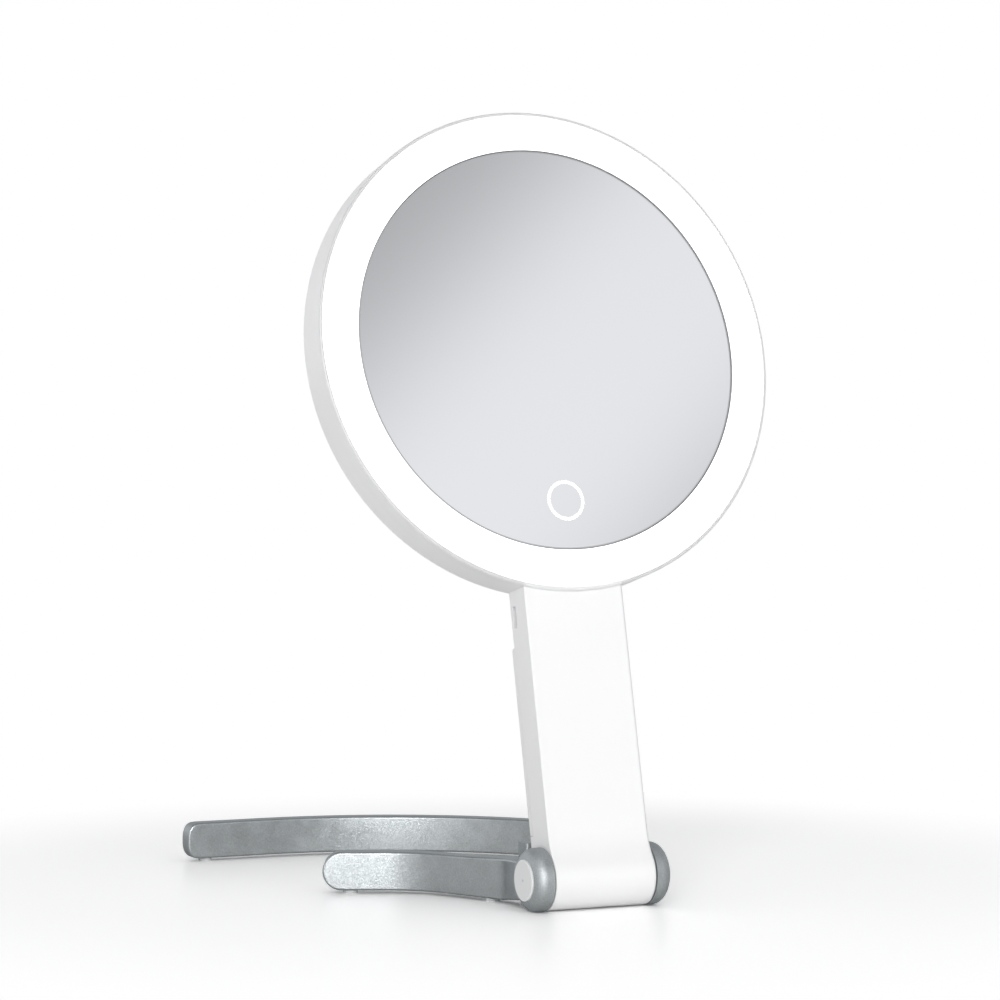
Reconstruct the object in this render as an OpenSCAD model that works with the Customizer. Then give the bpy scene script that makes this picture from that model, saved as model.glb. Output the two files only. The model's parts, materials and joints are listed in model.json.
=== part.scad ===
/* [Mirror head] */
// Outside diameter of the round head
head_d = 170; // [150:1:190]
// Thickness of the head, back to face
head_t = 15.3; // [14.5:0.1:18]
// Distance from the hinge axis to the centre of the head
head_reach = 180.6; // [172:0.1:200]
// Depth of the hinge axis in front of the head's back plane
axle_depth = 6.4; // [5.6:0.1:6.8]
// Width of the housing's rim around the light ring
rim_w = 1; // [0.8:0.1:1.6]
// Wall thickness of the housing
wall = 2.2; // [1.8:0.1:2.6]
// Thickness of the round cover at the back
head_cover_t = 1.8; // [1.4:0.1:2.2]
// Thickness of the shelf inside the head that the cover and the carrier close on
shelf_t = 2; // [1.6:0.1:2.4]
// Width of that shelf
shelf_w = 3.3; // [2.5:0.1:4]

/* [Glass and light] */
// Width of the light ring around the glass
light_w = 13.3; // [10:0.1:18]
// Thickness of the mirror glass
glass_t = 2.5; // [2:0.1:3]
// Depth of the glass below the light ring's face
glass_sink = 0.4; // [0.2:0.1:0.8]
// Thickness of the foam tape behind the glass
tape_t = 0.6; // [0.4:0.1:1]
// Thickness of the light ring's diffuser
diffuser_t = 3; // [2.4:0.1:3.6]
// Skin thickness of the carrier behind the glass
carrier_skin = 2; // [1.8:0.1:2.4]
// Thickness of the carrier's flange under the light board
flange_t = 1.5; // [1.2:0.1:2]
// Number of lamps on the light board
led_count = 40; // [24:4:52]
// Length, width and height of one lamp
led_size = [3.5, 2.8, 0.8]; // [0.5:0.1:4]
// Number of screws that clamp the carrier to the back cover
carrier_screw_count = 6; // [4:1:8]
// Distance of those screws inside the edge of the glass
carrier_screw_in = 18.7; // [14:0.1:26]
// Distance of the touch ring's centre from the lower edge of the glass
touch_in = 16.9; // [12:0.1:24]
// Outside diameter of the touch ring
touch_d = 14; // [11:0.5:17]
// Line width of the touch ring
touch_line = 1.2; // [0.8:0.1:1.6]

/* [Handle] */
// Width of the handle and of the hinge barrel
handle_w = 37; // [35:0.5:42]
// Distance of the handle's front behind the head's face
face_step = 1.7; // [1.2:0.1:2.4]
// Thickness of the handle's rear cover
rear_cover_t = 1.9; // [1.7:0.1:2.2]
// Distance of the rear cover's top edge below the head
cover_drop = 17; // [15:0.5:18]
// Width of the battery
battery_w = 28; // [22:0.5:29]
// Length of the driver board
driver_l = 20.6; // [19:0.1:24]
// Thickness of the battery
battery_t = 7.2; // [5:0.1:7.6]
// Thickness of the battery's foam tape
battery_tape_t = 1; // [0.6:0.1:1.2]
// Thickness of the circuit boards
board_t = 1.2; // [0.8:0.1:1.6]
// Width of the charging port's opening along the handle
port_w = 7.4; // [6.8:0.1:9]
// Height of the charging port
port_h = 2.3; // [2:0.1:2.6]
// Depth of the charging port
port_l = 6; // [5:0.5:8]
// Depth of the port's mouth behind the handle's side
port_in = 1.1; // [0.8:0.1:1.4]

/* [Hinge] */
// Lean of the mirror from upright as it stands
lean = 13; // [5:1:20]
// Furthest lean, where the handle meets the bridge
lean_max = 35; // [30:1:38]
// Diameter of the hinge caps on the stand
cap_d = 21.2; // [21:0.2:24]
// Clearance between the hinge barrel and the ground
barrel_lift = 0.2; // [0.1:0.1:0.5]
// Length of a hinge cap along the axis
cap_l = 6.2; // [5.8:0.1:7]
// Radius of the cap's outer shoulder
cap_round = 4; // [3:0.1:4.6]
// Gap between the barrel and a cap
cap_gap = 0.5; // [0.4:0.1:0.8]
// Diameter of the round plug in a cap
plug_d = 13.8; // [13:0.2:14.6]
// Thickness of that plug inside the cap
plug_t = 1; // [0.8:0.1:1.4]
// Height of the plug's face above the cap
plug_proud = 0.7; // [0.4:0.1:1]
// Diameter of the hinge shaft
shaft_d = 8; // [7:0.5:9]
// Diameter of the shaft's ends in the caps
shaft_end_d = 6; // [5:0.5:6.5]
// Radial clearance of the shaft in its bushes
run_gap = 0.05; // [0.03:0.01:0.08]
// Outside diameter of the bushes
bush_d = 12; // [11:0.5:13]
// Length of a bush
bush_l = 7; // [5:0.5:9]

/* [Stand] */
// Height of the arms
arm_h = 13.3; // [12:0.1:16]
// Thickness of the arms
arm_t = 7.5; // [6.5:0.1:8.5]
// Rounding of the arms' long edges
arm_round = 0.8; // [0.6:0.1:1.4]
// Distance from the middle of the handle to the middle of an arm's root
root_x = 19.7; // [19.4:0.1:20.2]
// Length of an arm's straight root behind the hinge axis
root_l = 18.7; // [18:0.1:24]
// Angle at which the arms spread behind their roots
spread = 25.6; // [15:0.2:32]
// Radius of that first bend
spread_r = 20; // [12:0.5:24]
// Straight length of the short arm before its bend
short_l1 = 20.4; // [16:0.1:32]
// Radius and angle of the short arm's bend
short_bend = [37.7, 39.5]; // [30:0.1:50]
// Straight length of the short arm after its bend
short_l2 = 14.8; // [10:0.1:26]
// Length of the short arm's round end
short_tip = 6.6; // [4:0.1:8]
// Straight length of the long arm before its bend
long_l1 = 54.4; // [45:0.1:65]
// Radius and angle of the long arm's tight bend
long_bend = [46.3, 59.2]; // [44:0.1:64]
// Radius of the long arm's wide bend, which ends square to the mirror
long_wide_r = 112.4; // [100:0.2:120]
// Straight length before the long arm's end
long_l2 = 27.4; // [15:0.1:30]
// Length of the long arm's round end
long_tip = 4.8; // [4:0.1:8]
// Shape of that end, where 1 is an ellipse and less is squarer
long_tip_shape = 0.75; // [0.5:0.05:1]
// Rise of an arm's top at the hinge axis
top_rise = 1.9; // [0:0.1:2.4]
// Distance from the hinge axis at which the arm's top starts to rise
top_rise_l = 44; // [30:1:48]
// Rise of an arm's underside at the hinge axis
foot_rise = 2.7; // [0:0.1:3.2]
// Distance from the hinge axis at which the arm's underside starts to rise
foot_rise_l = 23.5; // [22:0.5:25]
// Depth of the bridge behind the hinge, front to back
bridge_d = 6.8; // [6.2:0.1:7.5]
// Height of the bridge above the ground
bridge_h = 20.8; // [19.5:0.1:22]
// Length of the ears by which the bridge lies on the arms
bridge_ear = 1.4; // [1:0.1:2.4]
// Thickness of the tabs under the arms
tab_t = 3.6; // [3.2:0.1:4.4]
// Diameter of the foot pads
pad_d = 5; // [4.4:0.1:5.4]
// Thickness of the foot pads
pad_t = 1.9; // [1.7:0.1:2.3]
// Height of the pads' faces below the arms
pad_proud = 1.1; // [0.9:0.1:1.3]
// Distance of the end pads' middles behind the arms' round ends
pad_back = 3; // [2.6:0.1:6]
// Distance of the root pads' middles behind the arms' first bend
pad_past = 3; // [2:0.1:6]

/* [Fasteners] */
// Radius of the small screws' threads
screw_r = 1; // [0.8:0.1:1.1]
// Radius of their heads
screw_head_r = 2.1; // [1.8:0.1:2.3]
// Height of their heads
screw_head_h = 0.9; // [0.7:0.1:1]
// Radius of the hinge screws' threads
hinge_screw_r = 1.5; // [1.25:0.05:1.75]
// Radius of the hinge screws' heads
hinge_head_r = 3; // [2.6:0.1:3.4]
// Height of the hinge screws' heads
hinge_head_h = 1.8; // [1.4:0.1:1.9]
// Thickness of the spring washers
spring_t = 0.5; // [0.4:0.1:0.6]

/* [Hidden] */

$fn = 96;
eps = 0.01;
slip = 0.02;       // radial clearance of a part that is fixed in its hole
seat_gap = 0.1;    // clearance around a part that drops into a recess

white = [0.95, 0.95, 0.95];
opal = [1, 1, 0.98];
silver_paint = [0.62, 0.65, 0.66];
steel = [0.75, 0.76, 0.78];
board_green = [0.1, 0.35, 0.2];

// Planes of the mirror, measured forwards from the hinge axis
back_w = -axle_depth;
face_w = back_w + head_t;
front_w = face_w - face_step;
upper_back_w = back_w + rear_cover_t;
rim_drop = 0.3;
rim_w1 = face_w - rim_drop;
diffuser_bot = face_w - diffuser_t;
glass_top = face_w - glass_sink;
glass_bot = glass_top - glass_t;
platform_w = glass_bot - tape_t;
shelf_bot = back_w + head_cover_t;
shelf_top = shelf_bot + shelf_t;
flange_top = shelf_top + flange_t;
light_board_top = flange_top + board_t;

// Radii of the head
head_r = head_d / 2;
head_in_r = head_r - wall;
light_r = head_r - rim_w;
cover_seat_r = head_r - wall * 0.6;
edge_r = 0.8;
glass_r = light_r - light_w;
carrier_screw_pcr = glass_r - carrier_screw_in;
rim_in_r = glass_r + 0.3;
rim_out_r = rim_in_r + 1.4;
carrier_wall = 2;
reflector_t = 0.6;
reflector_out_r = head_in_r - seat_gap;
board_out_r = reflector_out_r - reflector_t - seat_gap;
board_in_r = rim_out_r + seat_gap;
led_r = (board_in_r + board_out_r) / 2;
carrier_boss_r = 3.4;

// Touch sensor behind the glass
touch_v = head_reach - glass_r + touch_in;
touch_r = touch_d / 2;
touch_inlay = 0.3;
sensor_t = tape_t + 0.8;
sensor_r = touch_r + 1;

// Handle
half_w = handle_w / 2;
side_wall = wall - 0.2;
cavity_x = half_w - side_wall;
front_in_w = front_w - side_wall;
back_skin = 1.5;
upper_in_w = upper_back_w + back_skin;
barrel_r = cap_d / 2 - barrel_lift;
front_blend_r = 20;
back_blend_r = 6;
cavity_v0 = barrel_r + 6;
rear_cover_top = head_reach - head_r - cover_drop;
cavity_v1 = head_reach - head_r - 1.6;
cover_v0 = cavity_v0 - 1.6;
cover_edge_r = 1.2;
cover_screw = [half_w - 7.5, cavity_v0 + 3.8];
cover_screw_l = 7;
boss_r = 3;
tongue_x = [6, 11.6];
tongue_root = 3;
tongue_in = 3;
tongue_t = 1.2;

// Battery, driver board and port
battery_v0 = cover_screw[1] + boss_r + 1.8;
battery_top = front_in_w - battery_tape_t;
board_back_w = upper_in_w + port_h;
board_front_w = board_back_w + board_t;
driver_v1 = cavity_v1 - 0.8;
driver_v0 = driver_v1 - driver_l;
battery_v1 = driver_v0 - 1.8;
driver_half_w = cavity_x - 0.7;
post_x = driver_half_w - 3.2;
post_r = 2.4;
post_v = [driver_v0 + 3.5, driver_v1 - 2.6];
board_screw_in = 3;
port_v = driver_v1 - 0.9 - port_w / 2;
port_shell_t = 0.3;
port_back_t = 1;
port_tip = 1;
tongue_board_t = 0.6;

// Wires inside
wire_r = 0.6;
wire_w = light_board_top + 2.3;
wire_start_v = driver_v1 - 2;
led_wire_x = 1.5;
touch_wire_x = 5;
battery_wire_x = 2.5;
battery_wire_in = 3;
led_wire_v = head_reach - board_out_r + 1.6;
slot_x = 6.4;

// Hinge
axle_h = cap_d / 2;
cap_r = cap_d / 2;
cap_in_x = half_w + cap_gap;
cap_out_x = cap_in_x + cap_l;
shaft_r = shaft_d / 2;
shaft_end_r = shaft_end_d / 2;
bush_r = bush_d / 2;
plug_r = plug_d / 2;
web_out_x = cap_out_x - plug_t - hinge_head_h - spring_t - 0.1;
well_r = max(hinge_head_r, spring_t + 4.1) + 0.6;
washer_r = 8;
washer_t = cap_gap - 0.06;
hinge_screw_l = 9;

// Stand
corner_steps = 4;
bend_step = 3;
straight_step = 12;
tip_steps = 7;
barrel_room = barrel_r + 1.2;
handle_room = axle_depth + 0.4;
bridge_x = root_x - arm_t / 2;
stop_gap = 0.15;
bridge_y0 = ((bridge_h - axle_h) * sin(lean_max) + axle_depth + stop_gap) / cos(lean_max);
bridge_y1 = bridge_y0 + bridge_d;
arm_z = pad_proud;
ear_z = arm_z + arm_h + rise_at(top_rise, top_rise_l, bridge_y0) + slip;
tab_z = arm_z + rise_at(foot_rise, foot_rise_l, bridge_y0);
tab_seat_z = tab_z + screw_head_h + 0.1;
tab_x = root_x + 2.2;
tab_screw = [root_x - 0.9, (bridge_y0 + bridge_y1) / 2];
bridge_screw_l = 9;
pad_r = pad_d / 2;

// An arm's run is a list of [length, 0] for a straight and [radius, angle] for a bend,
// where a positive angle turns left.
short_run = [[spread_r, spread], [short_l1, 0], short_bend, [short_l2, 0]];
long_wide_turn = 90 + spread - long_bend[1];
long_run = [[spread_r, -spread], [long_l1, 0], long_bend, [long_wide_r, long_wide_turn], [long_l2, 0]];

// The place and heading [x, y, angle] at the end of one piece of a run, and of its first n pieces
function piece_end(p) = p[1] == 0 ? [p[0], 0, 0]
    : [p[0] * sin(abs(p[1])), sign(p[1]) * p[0] * (1 - cos(p[1])), p[1]];
function joined(a, b) = [
    a[0] + b[0] * cos(a[2]) - b[1] * sin(a[2]),
    a[1] + b[0] * sin(a[2]) + b[1] * cos(a[2]),
    a[2] + b[2]
];
function run_end(run, n, start) = n == 0 ? start : joined(run_end(run, n - 1, start), piece_end(run[n - 1]));

short_start = [-root_x, root_l, 90];
long_start = [root_x, root_l, 90];
far_y = run_end(long_run, 5, long_start)[1] + arm_t / 2;

// The part's origin lies on the ground under the middle of its box.
hinge_y = (cap_r - far_y) / 2;

pad_places = [
    joined(run_end(short_run, 1, short_start), [pad_past, 0, 0]),
    joined(run_end(long_run, 1, long_start), [pad_past, 0, 0]),
    joined(run_end(short_run, 4, short_start), [-pad_back, 0, 0]),
    run_end(long_run, 3, long_start),
    joined(run_end(long_run, 5, long_start), [-pad_back, 0, 0])
];

// In the mirror's own frame x runs along the hinge, y up the handle and z out of the face.
module on_mirror() {
    translate([0, hinge_y, axle_h]) rotate([90 - lean, 0, 0]) children();
}

module on_head(w = 0) {
    on_mirror() translate([0, head_reach, w]) children();
}

// Along the hinge axis, with z pointing to the right
module on_hinge() {
    translate([0, hinge_y, axle_h]) rotate([0, 90, 0]) children();
}

module both_sides() {
    children();
    mirror([1, 0, 0]) children();
}

module tube(r_out, r_in, h) {
    difference() {
        cylinder(r = r_out, h = h);
        translate([0, 0, -1]) cylinder(r = r_in, h = h + 2);
    }
}

module box(x, y, z) {
    translate([x[0], y[0], z[0]]) cube([x[1] - x[0], y[1] - y[0], z[1] - z[0]]);
}

// A flat rectangle with round corners, centred
module round_rect(size, r) {
    square([size[0] - 2 * r, size[1]], center = true);
    square([size[0], size[1] - 2 * r], center = true);
    for (sx = [-1, 1], sy = [-1, 1]) {
        translate([sx * (size[0] / 2 - r), sy * (size[1] / 2 - r)]) circle(r = r, $fn = 32);
    }
}

// Screw with its head's underside at z = 0 and its thread below
module screw(r, head_r, head_h, l) {
    difference() {
        union() {
            cylinder(r = head_r, h = head_h, $fn = 48);
            translate([0, 0, -l]) cylinder(r = r, h = l + head_h / 2, $fn = 32);
        }
        translate([0, 0, head_h * 0.4]) cylinder(r = head_r * 0.45, h = head_h, $fn = 6);
    }
}

module small_screw(l) {
    screw(screw_r, screw_head_r, screw_head_h, l);
}

// The round wall of the head, with its shelf and the seats for the cover and the light ring
module head_wall() {
    rotate_extrude($fn = 192) difference() {
        union() {
            translate([head_in_r - shelf_w, back_w]) square([wall + shelf_w - edge_r, rim_w1 - back_w]);
            translate([head_r - 2 * edge_r, back_w + edge_r])
                square([2 * edge_r, rim_w1 - back_w - 2 * edge_r]);
            for (w = [back_w + edge_r, rim_w1 - edge_r])
                translate([head_r - edge_r, w]) circle(r = edge_r, $fn = 32);
        }
        translate([0, shelf_top]) square([head_in_r, head_t]);
        translate([0, diffuser_bot]) square([light_r, head_t]);
        translate([0, back_w - 1]) square([cover_seat_r, shelf_bot - back_w + 1]);
    }
}

// Fills the corner between a plane at height w and the barrel with an arc of radius r
module blend(w, r) {
    reach = sqrt(pow(barrel_r + r, 2) - pow(w + r, 2));
    meet = barrel_r / (barrel_r + r);
    difference() {
        polygon([[0, 0], [reach, 0], [reach, w], [reach * meet, (w + r) * meet]]);
        translate([reach, w + r]) circle(r = r, $fn = 256);
    }
}

// The handle's side view: x up the handle, y forwards
module handle_side() {
    circle(r = barrel_r);
    translate([0, back_w]) square([cover_v0, front_w - back_w]);
    translate([0, upper_back_w]) square([head_reach - head_r + 6, front_w - upper_back_w]);
    blend(front_w, front_blend_r);
    mirror([0, 1]) blend(-back_w, back_blend_r);
}

module handle_cavity() {
    box([-cavity_x, cavity_x], [cavity_v0, rear_cover_top], [back_w - 1, front_in_w]);
    box([-cavity_x, cavity_x], [cavity_v0, cavity_v1], [upper_in_w, front_in_w]);
}

module wire_slot() {
    box([-slot_x, slot_x], [cavity_v1 - 1, head_reach - head_in_r + 3], [wire_w - 1.1, wire_w + 1.1]);
}

module port_cutout() {
    translate([-half_w - 1, port_v, board_back_w - port_h / 2]) rotate([90, 0, 90])
        linear_extrude(side_wall + 1.5) round_rect([port_w + 0.1, port_h + 0.1], port_h / 2 - 0.1);
}

module main_housing() {
    color(white) on_mirror() difference() {
        union() {
            translate([0, head_reach, 0]) head_wall();
            difference() {
                union() {
                    difference() {
                        translate([-half_w, 0, 0]) rotate([90, 0, 90]) linear_extrude(handle_w) handle_side();
                        handle_cavity();
                    }
                    both_sides() {
                        translate([cover_screw[0], cover_screw[1], upper_back_w])
                            cylinder(r = boss_r, h = front_in_w - upper_back_w + 0.5, $fn = 48);
                        for (v = post_v) translate([post_x, v, board_front_w])
                            cylinder(r = post_r, h = front_in_w - board_front_w + 0.5, $fn = 48);
                    }
                }
                translate([0, head_reach, back_w - 1]) cylinder(r = head_r - 0.5, h = head_t + 2, $fn = 192);
            }
        }
        rotate([0, 90, 0]) cylinder(r = shaft_r + 0.6, h = handle_w + 2, center = true);
        both_sides() {
            translate([half_w - bush_l, 0, 0]) rotate([0, 90, 0]) cylinder(r = bush_r + slip, h = bush_l + 1);
            translate([cover_screw[0], cover_screw[1], upper_back_w - 1])
                cylinder(r = screw_r + slip, h = cover_screw_l + 1, $fn = 32);
            translate([post_x, post_v[0], board_front_w - 1])
                cylinder(r = screw_r + slip, h = board_screw_in + 2, $fn = 32);
        }
        wire_slot();
        port_cutout();
    }
}

module head_rear_cover() {
    color(white) on_head() difference() {
        union() {
            translate([0, 0, back_w]) cylinder(r = cover_seat_r - seat_gap, h = head_cover_t, $fn = 192);
            on_carrier_screws() translate([0, 0, shelf_bot - 0.5])
                cylinder(r = carrier_boss_r, h = platform_w - carrier_skin - shelf_bot + 0.5, $fn = 48);
        }
        on_carrier_screws() translate([0, 0, shelf_bot]) cylinder(r = screw_r + slip, h = head_t, $fn = 32);
    }
}

module on_carrier_screws() {
    for (i = [0:carrier_screw_count - 1]) rotate([0, 0, (i + 0.5) * 360 / carrier_screw_count - 90])
        translate([carrier_screw_pcr, 0, 0]) children();
}

// Opal ring that glows around the glass, with a soft outer edge
module diffuser_ring() {
    soft = 0.6;
    inner_r = glass_r + 0.2;
    outer_r = light_r - seat_gap;
    color(opal) on_head() rotate_extrude($fn = 192) {
        translate([inner_r, diffuser_bot]) square([outer_r - inner_r, diffuser_t - soft]);
        translate([inner_r, diffuser_bot]) square([outer_r - inner_r - soft, diffuser_t]);
        translate([outer_r - soft, face_w - soft]) circle(r = soft, $fn = 32);
    }
}

module mirror_glass() {
    color([0.8, 0.82, 0.84]) on_mirror() difference() {
        translate([0, head_reach, glass_bot]) cylinder(r = glass_r, h = glass_t, $fn = 192);
        translate([0, touch_v, glass_top - touch_inlay]) tube(touch_r + slip, touch_r - touch_line - slip, 1);
    }
}

module touch_ring() {
    color(opal) on_mirror() translate([0, touch_v, glass_top - touch_inlay])
        tube(touch_r, touch_r - touch_line, touch_inlay);
}

module glass_tape() {
    color([0.3, 0.3, 0.32]) on_mirror() difference() {
        translate([0, head_reach, platform_w]) cylinder(r = glass_r - 1.5, h = tape_t, $fn = 128);
        translate([0, touch_v, platform_w - 1]) cylinder(r = sensor_r + 0.3, h = tape_t + 2, $fn = 64);
    }
}

// Carrier shaped like a hat: its crown holds the glass and its brim the light board
module mirror_carrier() {
    rim_wall_in = rim_out_r - carrier_wall;
    color([0.9, 0.9, 0.9]) on_mirror() difference() {
        translate([0, head_reach, 0]) rotate_extrude($fn = 192) {
            translate([rim_wall_in, shelf_top]) square([head_in_r - seat_gap - rim_wall_in, flange_t]);
            translate([rim_wall_in, shelf_top]) square([carrier_wall, platform_w - shelf_top]);
            translate([rim_in_r, shelf_top]) square([rim_out_r - rim_in_r, diffuser_bot - shelf_top]);
            translate([0, platform_w - carrier_skin]) square([rim_out_r - 0.5, carrier_skin]);
        }
        translate([0, head_reach, 0]) on_carrier_screws() {
            translate([0, 0, platform_w - carrier_skin - 1])
                cylinder(r = screw_r + 0.2, h = carrier_skin + 2, $fn = 32);
            translate([0, 0, platform_w - screw_head_h - 0.1])
                cylinder(r = screw_head_r + 0.1, h = screw_head_h + 1, $fn = 48);
        }
        translate([0, touch_v, glass_bot - sensor_t]) cylinder(r = sensor_r + 0.3, h = 5, $fn = 64);
        translate([touch_wire_x, touch_v, wire_w]) cylinder(r = wire_r + 0.4, h = 5, $fn = 32);
        box([touch_wire_x - 1.2, touch_wire_x + 1.2],
            [head_reach - rim_out_r - 1, head_reach - rim_wall_in + 1], [wire_w - 1, wire_w + 1]);
    }
}

module carrier_screws() {
    color(steel) on_head() on_carrier_screws() translate([0, 0, platform_w - screw_head_h - 0.1])
        small_screw(platform_w - screw_head_h - shelf_bot - 1);
}

module light_board() {
    color([0.95, 0.95, 0.92]) on_head(flange_top) tube(board_out_r, board_in_r, board_t, $fn = 192);
}

module leds() {
    color([1, 0.95, 0.6]) on_head(light_board_top) for (i = [0:led_count - 1])
        rotate([0, 0, (i + 0.5) * 360 / led_count]) translate([led_r, 0, led_size[2] / 2])
            cube([led_size[1], led_size[0], led_size[2]], center = true);
}

module reflector_band() {
    color(white) on_mirror() difference() {
        translate([0, head_reach, flange_top])
            tube(reflector_out_r, reflector_out_r - reflector_t, diffuser_bot - flange_top - 0.05, $fn = 192);
        wire_slot();
    }
}

module touch_sensor() {
    color(board_green) on_mirror() translate([0, touch_v, glass_bot - sensor_t])
        cylinder(r = sensor_r, h = sensor_t, $fn = 64);
}

// Cover over the battery, hooked under the housing at its top and screwed at its foot
module handle_rear_cover() {
    l = rear_cover_top - seat_gap - cover_v0 - seat_gap;
    lip = 1.1;
    color(white) on_mirror() difference() {
        union() {
            translate([half_w, cover_v0 + seat_gap, back_w]) rotate([0, -90, 0]) linear_extrude(handle_w) {
                translate([cover_edge_r, 0]) square([rear_cover_t - cover_edge_r, l]);
                square([rear_cover_t, l - cover_edge_r]);
                translate([cover_edge_r, l - cover_edge_r]) intersection() {
                    circle(r = cover_edge_r, $fn = 32);
                    translate([-cover_edge_r, 0]) square(cover_edge_r);
                }
            }
            both_sides() {
                box([cavity_x - seat_gap - lip, cavity_x - seat_gap], [battery_v0, rear_cover_top - 2],
                    [upper_back_w - eps, upper_back_w + lip]);
                box(tongue_x, [rear_cover_top - tongue_root, rear_cover_top - 0.3],
                    [upper_back_w - eps, upper_in_w + tongue_t]);
                box(tongue_x, [rear_cover_top - tongue_root, rear_cover_top + tongue_in],
                    [upper_in_w + 0.05, upper_in_w + tongue_t]);
            }
        }
        both_sides() translate([cover_screw[0], cover_screw[1], 0]) {
            translate([0, 0, back_w - 1]) cylinder(r = screw_r + 0.2, h = rear_cover_t + 2, $fn = 32);
            translate([0, 0, back_w - 1]) cylinder(r = screw_head_r + 0.15, h = screw_head_h + 1.1, $fn = 48);
        }
    }
}

module rear_cover_screws() {
    color(steel) on_mirror() both_sides()
        translate([cover_screw[0], cover_screw[1], back_w + screw_head_h + 0.1]) mirror([0, 0, 1])
            small_screw(cover_screw_l);
}

module battery() {
    color([0.35, 0.45, 0.75]) on_mirror()
        translate([0, battery_v1, battery_top - battery_t / 2]) rotate([90, 0, 0])
        linear_extrude(battery_v1 - battery_v0) round_rect([battery_w, battery_t], 1.5);
}

module battery_tape() {
    color([0.3, 0.3, 0.32]) on_mirror() box([-battery_w / 2 + 3, battery_w / 2 - 3],
        [battery_v0 + 3, battery_v1 - 3], [battery_top, front_in_w]);
}

module driver_board() {
    color(board_green) on_mirror() difference() {
        box([-driver_half_w, driver_half_w], [driver_v0, driver_v1], [board_back_w, board_front_w]);
        both_sides() translate([post_x, post_v[0], board_back_w - 1])
            cylinder(r = screw_r + 0.2, h = board_t + 2, $fn = 32);
    }
}

// Controller, coil, charger and lamp driver on the board's back, as [x, share of the board's length,
// width, length, height]
module board_chips() {
    chips = [[0, 0.3, 5, 5, 1], [3.5, 0.72, 4, 4, 2], [-5, 0.62, 4, 5, 1.1], [11, 0.66, 3, 5, 1.2]];
    color([0.15, 0.15, 0.17]) on_mirror() for (c = chips) {
        v = driver_v0 + c[1] * (driver_v1 - driver_v0);
        box([c[0] - c[2] / 2, c[0] + c[2] / 2], [v - c[3] / 2, v + c[3] / 2],
            [board_back_w - c[4], board_back_w]);
    }
}

module board_screws() {
    color(steel) on_mirror() both_sides()
        translate([post_x, post_v[0], board_back_w]) mirror([0, 0, 1]) small_screw(board_t + board_screw_in);
}

module on_port() {
    on_mirror() translate([port_in - half_w, port_v, board_back_w - port_h / 2]) rotate([90, 0, 90])
        children();
}

module charging_port() {
    inner = [port_w - 2 * port_shell_t, port_h - 2 * port_shell_t];
    color(steel) on_port() difference() {
        linear_extrude(port_l) round_rect([port_w, port_h], port_h / 2 - 0.15);
        translate([0, 0, -port_back_t]) linear_extrude(port_l) round_rect(inner, inner[1] / 2 - 0.15);
    }
}

module port_tongue() {
    color([0.85, 0.85, 0.85]) on_port() translate([0, 0, port_tip])
        linear_extrude(port_l - port_back_t - port_tip) square([port_w - 2.4, tongue_board_t], center = true);
}

// A round rod from point a to point b
module rod(a, b, r) {
    d = b - a;
    translate(a) rotate([0, acos(d[2] / norm(d)), atan2(d[1], d[0])]) cylinder(r = r, h = norm(d), $fn = 24);
}

// A wire through a list of points, with a round corner at each
module wire(points) {
    for (i = [1:len(points) - 1]) rod(points[i - 1], points[i], wire_r);
    for (i = [1:1:len(points) - 2]) translate(points[i]) sphere(r = wire_r, $fn = 24);
}

module led_wires() {
    color([0.8, 0.15, 0.1]) on_mirror() for (x = [-led_wire_x, led_wire_x]) wire([
        [x, wire_start_v, board_front_w],
        [x, wire_start_v, wire_w],
        [x, led_wire_v, wire_w],
        [x, led_wire_v, light_board_top]
    ]);
}

module touch_wire() {
    color([0.9, 0.9, 0.9]) on_mirror() wire([
        [touch_wire_x, wire_start_v, board_front_w],
        [touch_wire_x, wire_start_v, wire_w],
        [touch_wire_x, touch_v, wire_w],
        [touch_wire_x, touch_v, glass_bot - sensor_t]
    ]);
}

module battery_wires() {
    color([0.1, 0.1, 0.1]) on_mirror() for (x = [-battery_wire_x, battery_wire_x]) wire([
        [x, battery_v1, board_front_w + wire_r],
        [x, driver_v0 + battery_wire_in, board_front_w + wire_r]
    ]);
}

module hinge_bushes() {
    color([0.25, 0.25, 0.27]) on_hinge() for (s = [0, 1]) mirror([0, 0, s])
        translate([0, 0, half_w - bush_l]) tube(bush_r, shaft_r + run_gap, bush_l);
}

module hinge_shaft() {
    color(steel) on_hinge() difference() {
        union() {
            cylinder(r = shaft_r, h = 2 * cap_in_x, center = true);
            cylinder(r = shaft_end_r, h = 2 * web_out_x, center = true);
        }
        for (s = [0, 1]) mirror([0, 0, s]) translate([0, 0, web_out_x - hinge_screw_l])
            cylinder(r = hinge_screw_r + slip, h = hinge_screw_l + 1, $fn = 32);
    }
}

module friction_washers() {
    color([0.2, 0.2, 0.2]) on_hinge() for (s = [0, 1]) mirror([0, 0, s])
        translate([0, 0, cap_in_x - washer_t]) tube(washer_r, shaft_r + 0.1, washer_t);
}

module spring_washers() {
    color(steel) on_hinge() for (s = [0, 1]) mirror([0, 0, s])
        translate([0, 0, web_out_x]) tube(well_r - 0.3, hinge_screw_r + 0.15, spring_t);
}

module hinge_screws() {
    color(steel) on_hinge() for (s = [0, 1]) mirror([0, 0, s])
        translate([0, 0, web_out_x + spring_t])
            screw(hinge_screw_r, hinge_head_r, hinge_head_h, hinge_screw_l - 1);
}

// Round plugs that close the caps, each with a bevelled edge
module cap_plugs() {
    bevel = 0.25;
    color([0.88, 0.89, 0.9]) on_hinge() for (s = [0, 1]) mirror([0, 0, s])
        translate([0, 0, cap_out_x - plug_t]) {
            cylinder(r = plug_r, h = plug_t + plug_proud - bevel);
            translate([0, 0, plug_t + plug_proud - bevel])
                cylinder(r1 = plug_r, r2 = plug_r - bevel, h = bevel);
        }
}

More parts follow.
